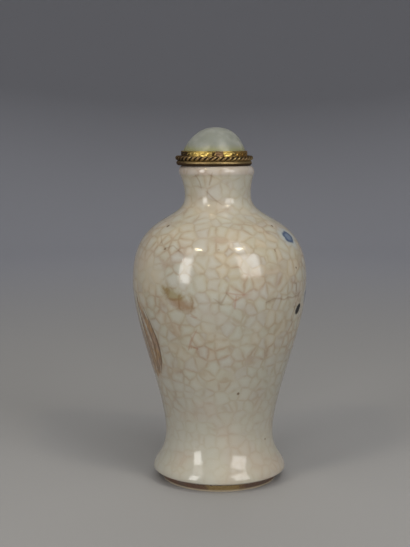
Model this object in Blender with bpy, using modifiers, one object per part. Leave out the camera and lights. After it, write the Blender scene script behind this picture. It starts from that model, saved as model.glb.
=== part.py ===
"""Snuff bottle: a small hollow porcelain vase on a flared foot, closed by a corked stopper.

The stopper is a domed stone in a metal band, set on a round plate with a twisted wire round it.
The bottle stands on its foot ring at z = 0, with the axis of its body on the Z axis.
"""

import math

import bpy
from mathutils import Vector
from mathutils.geometry import interpolate_bezier

MM = 0.001

# Bottle outside: the radius of each station, and the rise to it from the one below
FOOT_RADIUS = 14.2 * MM
FOOT_RISE = 2.6 * MM
WAIST_RADIUS = 11.75 * MM
WAIST_RISE = 7.8 * MM
SHOULDER_RADIUS = 18.8 * MM
SHOULDER_RISE = 33.0 * MM
NECK_RADIUS = 7.1 * MM
NECK_RISE = 18.2 * MM
LIP_RADIUS = 7.95 * MM
LIP_RISE = 5.1 * MM
LIP_ROUNDING = 0.9 * MM
LIP_CROWN = 1.0 * MM
NECK_LEAN = -0.75 * MM

# Foot: a glazed roll, a bare chamfer down to the ring that it stands on, and the recess inside the ring
FOOT_ROLL_WIDTH = 1.1 * MM
FOOT_ROLL_DEPTH = 0.82 * MM
RING_RADIUS = 12.3 * MM
RING_WIDTH = 2.1 * MM
RECESS_DEPTH = 1.7 * MM
RECESS_FILLET = 0.6 * MM

# Bottle inside
WALL = 2.6 * MM
FLOOR_THICKNESS = 3.2 * MM
BORE_RADIUS = 4.0 * MM
MOUTH_ROUNDING = 0.5 * MM

# Clearances: what rests or plugs, and what is soldered or set
REST_GAP = 0.3 * MM
SET_GAP = 0.2 * MM

# Stopper: its offset from the mouth's axis, the plate, the band, the stone, the wire and the cork
STOPPER_OFFSET = -0.45 * MM
PLATE_RADIUS = 8.1 * MM
PLATE_THICKNESS = 0.85 * MM
BAND_RADIUS = 7.1 * MM
BAND_HEIGHT = 2.0 * MM
BAND_WALL = 0.35 * MM
BAND_EDGE = 0.15 * MM
STONE_DOME = 4.95 * MM
STONE_CHAMFER = 0.4 * MM
WIRE_DIAMETER = 0.5 * MM
WIRE_LAY_LENGTH = 2.23 * MM
CORK_LENGTH = 6.0 * MM
CORK_TAPER = 0.25 * MM
CORK_CHAMFER = 0.4 * MM

# How full each stretch of the outline is: the length of its curve handles, as shares of its rise
FOOT_FULLNESS = (0.29, 0.61)
BODY_FULLNESS = (0.25, 0.29)
SHOULDER_FULLNESS = (0.82, 0.33)
LIP_FULLNESS = (0.6, 0.25)

# Facets: sides round the bottle and round the stopper, and sections in one full twist of the wire
BOTTLE_SIDES = 44
STOPPER_SIDES = 40
SECTIONS_PER_TWIST = 8
MERGE_DISTANCE = 0.001 * MM
SHARP_ANGLE = math.radians(40)

# Heights that follow from the rises
waist_height = FOOT_RISE + WAIST_RISE
shoulder_height = waist_height + SHOULDER_RISE
neck_height = shoulder_height + NECK_RISE
lip_height = neck_height + LIP_RISE
rim_height = lip_height + LIP_CROWN
floor_height = RECESS_DEPTH + FLOOR_THICKNESS

# Heights in the stopper, from the underside of its plate
band_base = PLATE_THICKNESS + SET_GAP
band_top = band_base + BAND_HEIGHT
stone_radius = BAND_RADIUS - BAND_WALL - SET_GAP


def material(name, color, roughness, metallic=0.0):
    """A plain material in one of the object's colours."""
    made = bpy.data.materials.new(name)
    made.use_nodes = True
    shader = made.node_tree.nodes["Principled BSDF"]
    shader.inputs["Base Color"].default_value = (*color, 1.0)
    shader.inputs["Roughness"].default_value = roughness
    shader.inputs["Metallic"].default_value = metallic
    return made


def upright_curve(low, high, fullness, segments):
    """Points up a smooth curve between two stations, straight up at both ends."""
    rise = high.y - low.y
    low_handle = low + Vector((0, rise * fullness[0]))
    high_handle = high - Vector((0, rise * fullness[1]))
    return interpolate_bezier(low, low_handle, high_handle, high, segments + 1)


def arc(centre, across, up, start, end, segments):
    """Points on an elliptical arc from one angle to another, in degrees."""
    turns = [math.radians(start + (end - start) * i / segments) for i in range(segments + 1)]
    return [centre + Vector((across * math.cos(a), up * math.sin(a))) for a in turns]


def turned(name, profile, sides, finish, collection, closed=False):
    """A piece turned from a profile of (radius, height) points about the Z axis."""
    count = len(profile)
    edges = [(i, (i + 1) % count) for i in range(count if closed else count - 1)]
    mesh = bpy.data.meshes.new(name)
    mesh.from_pydata([(point.x, 0, point.y) for point in profile], edges, [])
    piece = bpy.data.objects.new(name, mesh)
    collection.objects.link(piece)
    screw = piece.modifiers.new("Turn", "SCREW")
    screw.axis = "Z"
    screw.steps = screw.render_steps = sides
    screw.use_merge_vertices = True
    screw.merge_threshold = MERGE_DISTANCE
    scene_state = bpy.context.evaluated_depsgraph_get()
    piece.data = bpy.data.meshes.new_from_object(piece.evaluated_get(scene_state))
    piece.modifiers.clear()
    piece.data.materials.append(finish)
    piece.data.shade_smooth()
    piece.data.set_sharp_from_angle(angle=SHARP_ANGLE)
    return piece


def lean_at(height):
    """How far the neck has drifted sideways, from nothing at the shoulder to NECK_LEAN at the rim."""
    share = max(0.0, (height - shoulder_height) / (rim_height - shoulder_height))
    return NECK_LEAN * share ** 2


def lean(piece):
    """Moves each level of a turned piece sideways with the neck."""
    for vertex in piece.data.vertices:
        vertex.co.x += lean_at(vertex.co.z)


def wall_at(height):
    """The wall's thickness: WALL in the body, and what the bore leaves in the neck."""
    share = min(1.0, max(0.0, (height - shoulder_height) / NECK_RISE))
    return WALL + (NECK_RADIUS - BORE_RADIUS - WALL) * share ** 2


def inner_wall(outline, first, last):
    """A stretch of the outline, moved in by the wall's thickness."""
    moved = []
    for i in range(first, last + 1):
        along = (outline[i + 1] - outline[i - 1]).normalized()
        moved.append(outline[i] + Vector((-along.y, along.x)) * wall_at(outline[i].y))
    return moved


def bottle_profile():
    """The bottle's half section, from the cavity's floor up, over the rim and down to the recess."""
    foot = Vector((FOOT_RADIUS, FOOT_RISE))
    waist = Vector((WAIST_RADIUS, waist_height))
    shoulder = Vector((SHOULDER_RADIUS, shoulder_height))
    neck = Vector((NECK_RADIUS, neck_height))
    lip = Vector((LIP_RADIUS, lip_height))
    foot_curve = upright_curve(foot, waist, FOOT_FULLNESS, 6)
    body_curve = upright_curve(waist, shoulder, BODY_FULLNESS, 8)
    shoulder_curve = upright_curve(shoulder, neck, SHOULDER_FULLNESS, 10)
    neck_curve = upright_curve(neck, lip, LIP_FULLNESS, 4)
    outline = foot_curve + body_curve[1:] + shoulder_curve[1:] + neck_curve[1:]

    inside = inner_wall(outline, len(foot_curve) - 1, len(outline) - len(neck_curve))
    bowl = inside[0].y - floor_height
    bowl_centre = Vector((inside[0].x - bowl, inside[0].y))
    mouth_centre = Vector((BORE_RADIUS + MOUTH_ROUNDING, rim_height - MOUTH_ROUNDING))
    lip_centre = Vector((LIP_RADIUS - LIP_ROUNDING, lip_height))
    roll_centre = Vector((FOOT_RADIUS - FOOT_ROLL_WIDTH, FOOT_RISE))
    ring_inside = RING_RADIUS - RING_WIDTH
    recess_centre = Vector((ring_inside - RECESS_FILLET, RECESS_DEPTH - RECESS_FILLET))

    profile = [Vector((0, floor_height))]
    profile += arc(bowl_centre, bowl, bowl, -90, 0, 4)[:-1]
    profile += inside
    profile += arc(mouth_centre, MOUTH_ROUNDING, MOUTH_ROUNDING, 180, 90, 2)
    profile += arc(lip_centre, LIP_ROUNDING, LIP_CROWN, 90, 0, 4)[:-1]
    profile += outline[::-1]
    profile += arc(roll_centre, FOOT_ROLL_WIDTH, FOOT_ROLL_DEPTH, 0, -60, 2)[1:]
    profile += [Vector((RING_RADIUS, 0)), Vector((ring_inside, 0))]
    profile += arc(recess_centre, RECESS_FILLET, RECESS_FILLET, 0, 90, 2)
    profile += [Vector((0, RECESS_DEPTH))]
    return profile


def plate_profile():
    """The stopper's plate, with its edge rounded over its whole thickness."""
    rounding = PLATE_THICKNESS / 2
    edge_centre = Vector((PLATE_RADIUS - rounding, rounding))
    edge = arc(edge_centre, rounding, rounding, 90, -90, 5)
    return [Vector((0, PLATE_THICKNESS)), *edge, Vector((0, 0))]


def band_profile():
    """The band round the stone, its top edge turned in a little."""
    inside = BAND_RADIUS - BAND_WALL
    return [
        Vector((inside, band_top)),
        Vector((BAND_RADIUS - BAND_EDGE, band_top)),
        Vector((BAND_RADIUS, band_top - BAND_EDGE)),
        Vector((BAND_RADIUS, band_base)),
        Vector((inside, band_base)),
    ]


def stone_profile():
    """The cabochon: a shallow dome that starts at the band's top, on a short straight girdle."""
    sphere = (stone_radius ** 2 + STONE_DOME ** 2) / (2 * STONE_DOME)
    centre = Vector((0, band_top + STONE_DOME - sphere))
    girdle_angle = math.degrees(math.acos(stone_radius / sphere))
    return [
        *arc(centre, sphere, sphere, 90, girdle_angle, 8),
        Vector((stone_radius, band_base + STONE_CHAMFER)),
        Vector((stone_radius - STONE_CHAMFER, band_base)),
        Vector((0, band_base)),
    ]


def cork_profile():
    """The cork, level with the rim at its top, a little narrower below, its lower edge cut back."""
    top = rim_height
    radius = BORE_RADIUS - REST_GAP
    foot_radius = radius - CORK_TAPER
    return [
        Vector((0, top)),
        Vector((radius, top)),
        Vector((foot_radius, top - CORK_LENGTH + CORK_CHAMFER)),
        Vector((foot_radius - CORK_CHAMFER, top - CORK_LENGTH)),
        Vector((0, top - CORK_LENGTH)),
    ]


def twisted_wire(finish, guides, collection):
    """The wire ring: two plies twisted together, as one long section that turns as it goes round."""
    centre_radius = BAND_RADIUS + SET_GAP + WIRE_DIAMETER
    centre_height = PLATE_THICKNESS + SET_GAP + WIRE_DIAMETER
    twists = round(math.tau * centre_radius / WIRE_LAY_LENGTH)
    sections = twists * SECTIONS_PER_TWIST

    outline = bpy.data.curves.new("wire_section", "CURVE")
    outline.dimensions = "2D"
    corners = arc(Vector((0, 0)), WIRE_DIAMETER, WIRE_DIAMETER / 2, 0, -300, 5)
    section = outline.splines.new("POLY")
    section.points.add(len(corners) - 1)
    section.use_cyclic_u = True
    for point, corner in zip(section.points, corners):
        point.co = (corner.x, corner.y, 0, 1)
    guide = bpy.data.objects.new("wire_section", outline)
    guide.hide_render = True
    guide.display_type = "WIRE"
    guides.objects.link(guide)

    ring = bpy.data.curves.new("stopper_wire", "CURVE")
    ring.dimensions = "3D"
    ring.twist_mode = "Z_UP"
    ring.bevel_mode = "OBJECT"
    ring.bevel_object = guide
    path = ring.splines.new("POLY")
    path.points.add(sections - 1)
    path.use_cyclic_u = True
    for i, point in enumerate(path.points):
        turn = math.tau * i / sections
        point.co = (centre_radius * math.cos(turn), centre_radius * math.sin(turn), centre_height, 1)
        point.tilt = -turn * twists
    ring.materials.append(finish)
    piece = bpy.data.objects.new("stopper_wire", ring)
    collection.objects.link(piece)
    return piece


for old in list(bpy.data.objects):
    bpy.data.objects.remove(old)

bottle_collection = bpy.data.collections.new("snuff_bottle")
guide_collection = bpy.data.collections.new("guides")
bpy.context.scene.collection.children.link(bottle_collection)
bpy.context.scene.collection.children.link(guide_collection)

glaze = material("crackled_glaze", (0.52, 0.50, 0.42), 0.15)
jade = material("pale_jade", (0.42, 0.44, 0.36), 0.2)
gilt = material("gilt_metal", (0.55, 0.38, 0.12), 0.35, metallic=1.0)
bark = material("cork", (0.42, 0.27, 0.15), 0.9)

bottle = turned("bottle", bottle_profile(), BOTTLE_SIDES, glaze, bottle_collection)
cork = turned("stopper_cork", cork_profile(), STOPPER_SIDES, bark, bottle_collection)
for leaning in (bottle, cork):
    lean(leaning)

cap = bpy.data.objects.new("stopper", None)
cap.location = (lean_at(rim_height) + STOPPER_OFFSET, 0, rim_height + REST_GAP)
bottle_collection.objects.link(cap)
plate = turned("stopper_plate", plate_profile(), STOPPER_SIDES, gilt, bottle_collection)
band = turned("stopper_bezel", band_profile(), STOPPER_SIDES, gilt, bottle_collection, closed=True)
stone = turned("stopper_stone", stone_profile(), STOPPER_SIDES, jade, bottle_collection)
wire = twisted_wire(gilt, guide_collection, bottle_collection)
for piece in (plate, band, stone, wire):
    piece.parent = cap
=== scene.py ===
"""Looks of a porcelain snuff bottle with a crackled glaze, closed by a stone and gilt brass stopper.

Each section makes one piece, in millimetres until its mesh is finished, or the studio round it.
"""

import math

import bmesh
import bpy
import numpy as np
from mathutils import Matrix, Vector
from mathutils.geometry import interpolate_bezier


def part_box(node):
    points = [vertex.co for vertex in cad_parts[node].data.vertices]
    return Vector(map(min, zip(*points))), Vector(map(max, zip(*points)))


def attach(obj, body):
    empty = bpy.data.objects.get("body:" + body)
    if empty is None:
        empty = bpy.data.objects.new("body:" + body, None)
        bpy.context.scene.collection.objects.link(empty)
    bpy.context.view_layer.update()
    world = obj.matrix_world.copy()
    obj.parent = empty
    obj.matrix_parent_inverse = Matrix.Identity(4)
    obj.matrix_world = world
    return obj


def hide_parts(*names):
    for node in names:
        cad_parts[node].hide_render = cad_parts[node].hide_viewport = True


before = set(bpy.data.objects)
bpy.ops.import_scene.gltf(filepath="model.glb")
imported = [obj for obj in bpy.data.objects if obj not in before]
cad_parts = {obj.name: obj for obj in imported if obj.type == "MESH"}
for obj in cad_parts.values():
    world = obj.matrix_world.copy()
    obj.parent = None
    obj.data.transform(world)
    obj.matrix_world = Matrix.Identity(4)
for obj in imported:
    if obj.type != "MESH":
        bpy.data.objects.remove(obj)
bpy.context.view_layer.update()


# The bottle: one piece of porcelain, thrown on the wheel, hollow, with a narrow bore and a thick lip.
# The neck leans a little to the left. The glaze stops short of the ring that the bottle stands on,
# in a wavy edge with grit from the kiln in it, and the bare ware below it is rough.

# Stations of the outside, as (radius, height) in mm
FOOT = Vector((14.42, 2.35))
WAIST = Vector((11.75, 10.4))
SHOULDER = Vector((18.8, 43.4))
NECK = Vector((7.1, 61.6))
LIP = Vector((8.1, 66.7))
LIP_ROUNDING = 0.9
LIP_CROWN = 1.28
LIP_CREASE = 0.1
NECK_LEAN = -0.75

# How full each stretch of the outline is: the length of its curve handles, as shares of its rise
FOOT_FULLNESS = (0.26, 0.64)
BODY_FULLNESS = (0.25, 0.29)
SHOULDER_FULLNESS = (0.82, 0.33)
LIP_FULLNESS = (0.6, 0.25)

FOOT_ROLL_WIDTH = 1.1
FOOT_ROLL_DEPTH = 0.54
RING_RADIUS = 12.3
RING_WIDTH = 2.1
RECESS_DEPTH = 1.7
RECESS_FILLET = 0.6
WALL = 2.6
FLOOR_THICKNESS = 3.2
BORE_RADIUS = 4.0
MOUTH_ROUNDING = 0.5

BOTTLE_SIDES = 280
OUTSIDE_STEP = 0.34
INSIDE_STEP = 1.3
FOOT_STEP = 0.11
MERGE_DISTANCE = 0.0005
# What stands for a point that is nowhere near a stroke, in mm, and the least squared length of a
# stroke's stretch, so that one with no length at the axis can be divided by
FAR_AWAY = 99.0
LEAST_RUN = 1e-9

GLAZE_THICKNESS = 0.13
THROWING_DEPTH = 0.05
GRIT_HEIGHT = 0.14

rim_height = LIP.y + LIP_CROWN
floor_height = RECESS_DEPTH + FLOOR_THICKNESS
ring_inside = RING_RADIUS - RING_WIDTH


def upright_curve(low, high, fullness, step):
    """Points up a smooth curve between two stations, straight up at both ends."""
    rise = high.y - low.y
    low_handle = low + Vector((0, rise * fullness[0]))
    high_handle = high - Vector((0, rise * fullness[1]))
    count = math.ceil((high - low).length / step)
    return interpolate_bezier(low, low_handle, high_handle, high, count + 1)


def arc(centre, across, up, start, end, step):
    """Points on an elliptical arc from one angle to another, in degrees."""
    count = max(2, math.ceil(math.radians(abs(end - start)) * max(across, up) / step))
    turns = [math.radians(start + (end - start) * i / count) for i in range(count + 1)]
    return [centre + Vector((across * math.cos(a), up * math.sin(a))) for a in turns]


def straight(start, end, step):
    """Points from one point to another, without the first."""
    count = math.ceil((end - start).length / step)
    return [start.lerp(end, i / count) for i in range(1, count + 1)]


def wall_at(height):
    """The wall's thickness: WALL in the body, and what the bore leaves in the neck."""
    share = min(1.0, max(0.0, (height - SHOULDER.y) / (NECK.y - SHOULDER.y)))
    return WALL + (NECK.x - BORE_RADIUS - WALL) * share ** 2


def outside_curves(step):
    """The outside from the foot's widest level up to the lip, without the lip's rounding."""
    stations = (FOOT, WAIST, SHOULDER, NECK, LIP)
    fullness = (FOOT_FULLNESS, BODY_FULLNESS, SHOULDER_FULLNESS, LIP_FULLNESS)
    curves = [upright_curve(*ends, full, step) for *ends, full in zip(stations, stations[1:], fullness)]
    return curves[0] + [point for curve in curves[1:] for point in curve[1:]]


def inside_curve():
    """The outside moved in by the wall's thickness, from the waist to the neck."""
    outside = outside_curves(INSIDE_STEP)
    moved = []
    for before, point, after in zip(outside, outside[1:], outside[2:]):
        if WAIST.y - 0.01 <= point.y <= NECK.y + 0.01:
            along = (after - before).normalized()
            moved.append(point + Vector((-along.y, along.x)) * wall_at(point.y))
    return moved


def turned(outline, sides, closed=False):
    """A shape spun from an outline of (radius, height) points about the Z axis.

    Each point of the shape keeps its distance along the outline, in a layer named run.
    """
    shape = bmesh.new()
    run = shape.verts.layers.float.new("run")
    path = [shape.verts.new((point.x, 0, point.y)) for point in outline]
    for before, point in zip(path, path[1:]):
        point[run] = before[run] + (point.co - before.co).length
    ends = list(zip(path, path[1:])) + ([(path[-1], path[0])] if closed else [])
    edges = [shape.edges.new(pair) for pair in ends]
    bmesh.ops.spin(shape, geom=path + edges, axis=(0, 0, 1), angle=math.tau, steps=sides,
                   use_merge=True)
    bmesh.ops.remove_doubles(shape, verts=shape.verts, dist=MERGE_DISTANCE)
    bmesh.ops.recalc_face_normals(shape, faces=shape.faces)
    return shape


def as_piece(name, shape):
    """A smooth object made from a shape in mm. Its mesh is in metres only when it is finished."""
    mesh = bpy.data.meshes.new(name)
    shape.to_mesh(mesh)
    shape.free()
    mesh.shade_smooth()
    piece = bpy.data.objects.new(name, mesh)
    bpy.context.scene.collection.objects.link(piece)
    return piece


def read(piece, name):
    """A mesh's positions, normals or numbers kept under a name, as an array with a row for each point."""
    points = piece.data.vertices
    if name in ("co", "normal"):
        rows = np.empty(len(points) * 3)
        points.foreach_get(name, rows)
        return rows.reshape(-1, 3)
    rows = np.empty(len(points))
    piece.data.attributes[name].data.foreach_get("value", rows)
    return rows


def store(piece, name, rows):
    """Keeps one number for each point of a mesh, for its finish to read."""
    attribute = piece.data.attributes.new(name, "FLOAT", "POINT")
    attribute.data.foreach_set("value", rows.astype(np.float32))


def finish_shape(piece, points):
    """Puts a mesh's final points in place, turning millimetres into metres."""
    piece.data.vertices.foreach_set("co", (points / 1000).ravel())
    piece.data.update()


def eased(rows, low, high):
    """Rises smoothly from 0 at low to 1 at high."""
    share = np.clip((rows - low) / (high - low), 0, 1)
    return share * share * (3 - 2 * share)


def nearest_stroke(strokes, across, along, stretch=1.0):
    """How far each point is from the middle of the nearest tapering stroke, and half its width there.

    A stroke is a list of (across, along, half width) points, and stretch turns its first numbers
    into millimetres. The distance is below zero on one side of the stroke.
    """
    away = np.full(across.shape, FAR_AWAY)
    width = np.zeros(across.shape)
    for stroke in strokes:
        for (x, y, half), (next_x, next_y, next_half) in zip(stroke, stroke[1:]):
            run_x, run_y = (next_x - x) * stretch, next_y - y
            from_x, from_y = across - x * stretch, along - y
            length_squared = np.maximum(run_x ** 2 + run_y ** 2, LEAST_RUN)
            share = np.clip((from_x * run_x + from_y * run_y) / length_squared, 0, 1)
            here = half + (next_half - half) * share
            side = np.hypot(from_x - share * run_x, from_y - share * run_y)
            side = np.copysign(side, run_x * from_y - run_y * from_x)
            closer = here - np.abs(side) > width - np.abs(away)
            away = np.where(closer, side, away)
            width = np.where(closer, here, width)
    return away, width


def depth_in(strokes, across, along, stretch=1.0):
    """How far inside the nearest stroke each point is, in mm, and below zero outside it."""
    away, width = nearest_stroke(strokes, across, along, stretch)
    return width - np.abs(away)


bowl = inside_curve()[0].y - floor_height
bowl_centre = Vector((inside_curve()[0].x - bowl, inside_curve()[0].y))
mouth_centre = Vector((BORE_RADIUS + MOUTH_ROUNDING, rim_height - MOUTH_ROUNDING))
lip_centre = Vector((LIP.x - LIP_ROUNDING, LIP.y))
roll_centre = Vector((FOOT.x - FOOT_ROLL_WIDTH, FOOT.y))
recess_centre = Vector((ring_inside - RECESS_FILLET, RECESS_DEPTH - RECESS_FILLET))

outline = [Vector((0, floor_height))]
outline += straight(outline[-1], bowl_centre - Vector((0, bowl)), INSIDE_STEP)
outline += arc(bowl_centre, bowl, bowl, -90, 0, INSIDE_STEP)[1:-1]
outline += inside_curve()
outline += arc(mouth_centre, MOUTH_ROUNDING, MOUTH_ROUNDING, 180, 90, FOOT_STEP)
mouth_points = len(outline)
outline += straight(outline[-1], lip_centre + Vector((0, LIP_CROWN)), OUTSIDE_STEP)
outline += arc(lip_centre, LIP_ROUNDING, LIP_CROWN, 90, 0, FOOT_STEP)[1:-1]
outline += outside_curves(OUTSIDE_STEP)[::-1]
outline += arc(roll_centre, FOOT_ROLL_WIDTH, FOOT_ROLL_DEPTH, 0, -60, FOOT_STEP)[1:]
edge_points = len(outline)
outline += straight(outline[-1], Vector((RING_RADIUS, 0)), FOOT_STEP)
outline += straight(outline[-1], Vector((ring_inside, 0)), OUTSIDE_STEP)
ring_points = len(outline)
outline += straight(outline[-1], recess_centre + Vector((RECESS_FILLET, 0)), OUTSIDE_STEP)
outline += arc(recess_centre, RECESS_FILLET, RECESS_FILLET, 0, 90, FOOT_STEP)[1:]
outline += straight(outline[-1], Vector((0, RECESS_DEPTH)), INSIDE_STEP)

steps = [(b - a).length for a, b in zip(outline, outline[1:])]
outline_run = np.concatenate([[0], np.cumsum(steps)])
outline_height = np.array([point.y for point in outline])
mouth_run, edge_run, ring_run = (outline_run[i - 1] for i in (mouth_points, edge_points, ring_points))

bottle = as_piece("bottle_porcelain", turned(outline, BOTTLE_SIDES))
points = read(bottle, "co")
normals = read(bottle, "normal")
run = read(bottle, "run")
turn = np.arctan2(points[:, 0], -points[:, 1])
radius = np.hypot(points[:, 0], points[:, 1])
height = points[:, 2]
outside = run > mouth_run
stretch = np.radians(1) * radius


def along_wall(level):
    """How far along the outline a height on the bottle's outside is."""
    down = slice(mouth_points, edge_points)
    return np.interp(-level, -outline_height[down], outline_run[down])


def on_wall(strokes):
    """The nearest stroke on the bottle's outside, among strokes of (degrees, height, half width)."""
    laid = [[(degrees, along_wall(level), half) for degrees, level, half in stroke] for stroke in strokes]
    away, width = nearest_stroke(laid, turn * radius, run, stretch)
    return np.where(outside, away, FAR_AWAY), width


# How far above the foot's edge the glaze stops, and how far up inside the ring the ware is bare
GLAZE_SETBACK = 0.12
BARE_OVERRUN = 0.25
# Waves of the glaze's edge, as (how many round the foot, height, phase)
EDGE_WAVES = ((2, 0.05, 0.4), (5, 0.06, 1.9), (11, 0.05, 0.2), (23, 0.04, 2.6), (41, 0.03, 1.1))
# Grains of kiln grit stuck at the edge, in degrees from the front
GRIT_PLACES = (-142, -97, -66, -37, -19, -7.6, 24, 55, 101, 133, 171)
GRIT_SIZE = 0.34
GRIT_SETBACK = 0.1
# The waves that add up to the bare ware's grain, each as how fast it runs along X, Y and Z
GRAIN_WAYS = ((9, 4, 7), (-5, 11, 3), (6, -8, 12), (13, 7, -9))
GRAIN_DEPTH = 0.012

wavy_edge = edge_run - GLAZE_SETBACK + sum(h * np.sin(n * turn + phase) for n, h, phase in EDGE_WAVES)
bare = np.where(outside, np.minimum(run - wavy_edge, ring_run + BARE_OVERRUN - run), -1.0)
grit_run = edge_run - GRIT_SETBACK
grit = depth_in([[(a, grit_run, GRIT_SIZE), (a + 1, grit_run, GRIT_SIZE)] for a in GRIT_PLACES],
                turn * radius, run, stretch)
grit = np.where(outside, grit, -1.0)

grain = sum(np.sin(points @ np.array(way)) for way in GRAIN_WAYS)
throwing = 2 + np.sin(2 * turn + 0.25 * height) + np.sin(3 * turn - 0.4 * height + 1)
offset = -THROWING_DEPTH * throwing / 4 * outside * eased(height, 1.5, 4.0)
offset = offset - GLAZE_THICKNESS * eased(bare, 0.0, 0.14) - GRAIN_DEPTH * grain * eased(bare, 0.05, 0.3)
offset = offset + GRIT_HEIGHT * eased(grit, 0.0, GRIT_SIZE)
under_lip = LIP.y - height
offset = offset - LIP_CREASE * eased(under_lip, 0.5, 0.8) * (1 - eased(under_lip, 0.9, 3.2)) * outside
offset = np.where(height < 0.001, 0.0, offset)
lean = NECK_LEAN * np.clip((height - SHOULDER.y) / (rim_height - SHOULDER.y), 0, None) ** 2
points = points + normals * offset[:, None]
points[:, 0] += lean
points[:, 2] = np.maximum(points[:, 2], 0.0)
finish_shape(bottle, points)
store(bottle, "bare", bare)
store(bottle, "grit", grit)

# Brush work under the glaze, in (degrees from the front, height, half width): a garden rock in brown
# and ochre on the left, bamboo in blue on the right and behind, and blossoms round the shoulder
ROCK_LINES = [
    [(-70.5, 41.4, 0.08), (-68.4, 37.2, 0.22), (-66.6, 32.6, 0.2), (-66, 29.0, 0.06)],
    [(-60, 38.6, 0.06), (-54.5, 35.6, 0.16), (-51.0, 32.8, 0.24), (-49.8, 30.2, 0.26), (-51, 27.4, 0.2),
     (-56, 24.8, 0.06)],
    [(-59, 34.5, 0.06), (-56, 31.5, 0.16), (-56, 28.4, 0.16), (-60, 25.6, 0.05)],
    [(-72, 34.0, 0.05), (-69.5, 30.5, 0.18), (-69, 26.6, 0.05)],
]
ROCK_WASHES = [
    [(-69.5, 40.2, 0.3), (-64, 37.6, 0.8), (-57.5, 35.0, 1.1), (-53.6, 31.6, 1.4), (-54.5, 28.2, 1.3),
     (-60, 25.0, 0.9), (-66, 23.4, 0.4)],
    [(-67, 36.0, 0.5), (-63.5, 31.0, 1.3), (-63, 27.0, 1.1), (-68, 24.4, 0.6)],
    [(-76, 36.5, 0.5), (-73, 32.0, 1.0), (-72, 28.0, 1.2), (-73, 24.8, 0.6)],
]
# The rock's peaks towards the back, as (degrees, top, foot), each an arch with a wash inside it
ROCK_PEAKS = ((-80.5, 41.5, 24.2), (-88.5, 44.0, 24.6), (-96.5, 46.0, 23.4), (-104.5, 42.5, 24.8),
              (-112, 37.5, 23.6), (-119, 33.0, 24.6), (-125, 28.8, 24.0))
for peak_turn, top, low in ROCK_PEAKS:
    waist = low + 0.45 * (top - low)
    ROCK_LINES.append([(peak_turn - 3.0, low, 0.06), (peak_turn - 4.6, waist, 0.18),
                       (peak_turn - 3.4, top - 1.6, 0.2), (peak_turn - 0.6, top, 0.24),
                       (peak_turn + 2.4, top - 1.4, 0.26), (peak_turn + 4.2, waist + 1.5, 0.16),
                       (peak_turn + 3.0, low + 1.0, 0.06)])
    ROCK_WASHES.append([(peak_turn - 0.4, top - 1.6, 0.5), (peak_turn - 1.2, waist, 1.3),
                        (peak_turn, low + 1.0, 0.7)])
ROCK_WASHES.append([(-70, 24.2, 0.2), (-88, 23.4, 0.5), (-110, 23.2, 0.5), (-131, 24.4, 0.2)])

BAMBOO_STALKS = ((101, 21.0, 113, 50.5, 0.34), (122, 22.5, 116, 46.5, 0.26), (137, 21.5, 141, 51.5, 0.3))
BAMBOO_JOINT = 4.3
# Leaf clusters, as (degrees, height, leaves) at a twig's end, and the directions that leaves hang in
BAMBOO_TWIGS = ((77.5, 42.2, 3), (100, 46.5, 5), (104, 38.0, 5), (119, 49.0, 5), (124, 40.5, 5),
                (121, 33.0, 5), (144, 46.5, 5), (146, 37.5, 5))
LEAF_DIRECTIONS = (-22, -55, -92, -122, -152)
LEAF_LENGTH = 5.6
# A leaf's half widths, as (share of its length, half width)
LEAF_SHAPE = ((0.08, 0.05), (0.35, 0.6), (0.6, 0.55), (1.0, 0.03))
stalks = []
leaves = []
for low_turn, low, high_turn, high, half in BAMBOO_STALKS:
    joints = round((high - low) / BAMBOO_JOINT)
    for i in range(joints):
        ends = [(i + 0.06) / joints, (i + 0.94) / joints]
        stalks.append([(low_turn + (high_turn - low_turn) * share, low + (high - low) * share, half)
                       for share in ends])
for number, (twig_turn, twig_height, count) in enumerate(BAMBOO_TWIGS):
    for i, direction in enumerate(LEAF_DIRECTIONS[:count]):
        slant = math.radians(direction + 7 * math.sin(5 * number + 3 * i))
        length = LEAF_LENGTH * (0.85 + 0.15 * math.sin(7 * number + 2 * i))
        leaf = []
        for share, half in LEAF_SHAPE:
            across = length * share * math.cos(slant) / SHOULDER.x * math.degrees(1)
            leaf.append((twig_turn + across, twig_height + length * share * math.sin(slant), half))
        leaves.append(leaf)

# Blossoms, as (degrees, height, half width, half height), with a dark ring of five petals
BLOSSOMS = ((65.8, 53.3, 1.7, 1.3), (104, 54.6, 1.5, 1.3), (152, 52.8, 1.7, 1.4))
NO_BLOSSOM = 9.0
blossom = np.full(turn.shape, NO_BLOSSOM)
for blossom_turn, blossom_height, half_width, half_height in BLOSSOMS:
    across = (turn - math.radians(blossom_turn)) * radius / half_width
    along = (run - along_wall(blossom_height)) / half_height
    petals = 1 + 0.16 * np.abs(np.cos(2.5 * np.arctan2(along, across)))
    blossom = np.minimum(blossom, np.hypot(across, along) / petals)
store(bottle, "blossom", np.where(outside, blossom, NO_BLOSSOM))

IRON_SPOT = [[(62.7, 37.9, 0.75), (63.9, 38.3, 0.9), (65.2, 38.7, 0.7)]]
# Specks in the glaze, as (degrees, height, half width)
SPECKS = ((-53, 55.6, 0.3), (56.8, 55.6, 0.24), (58.9, 47.1, 0.22), (16.2, 21.25, 0.26), (56.4, 9.8, 0.2),
          (41.2, 51.1, 0.2), (-0.8, 51.5, 0.18), (-40.3, 51.4, 0.22), (-152, 31, 0.24), (171, 44, 0.3),
          (158, 18, 0.2), (-120, 52, 0.22), (-168, 12, 0.22))
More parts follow.
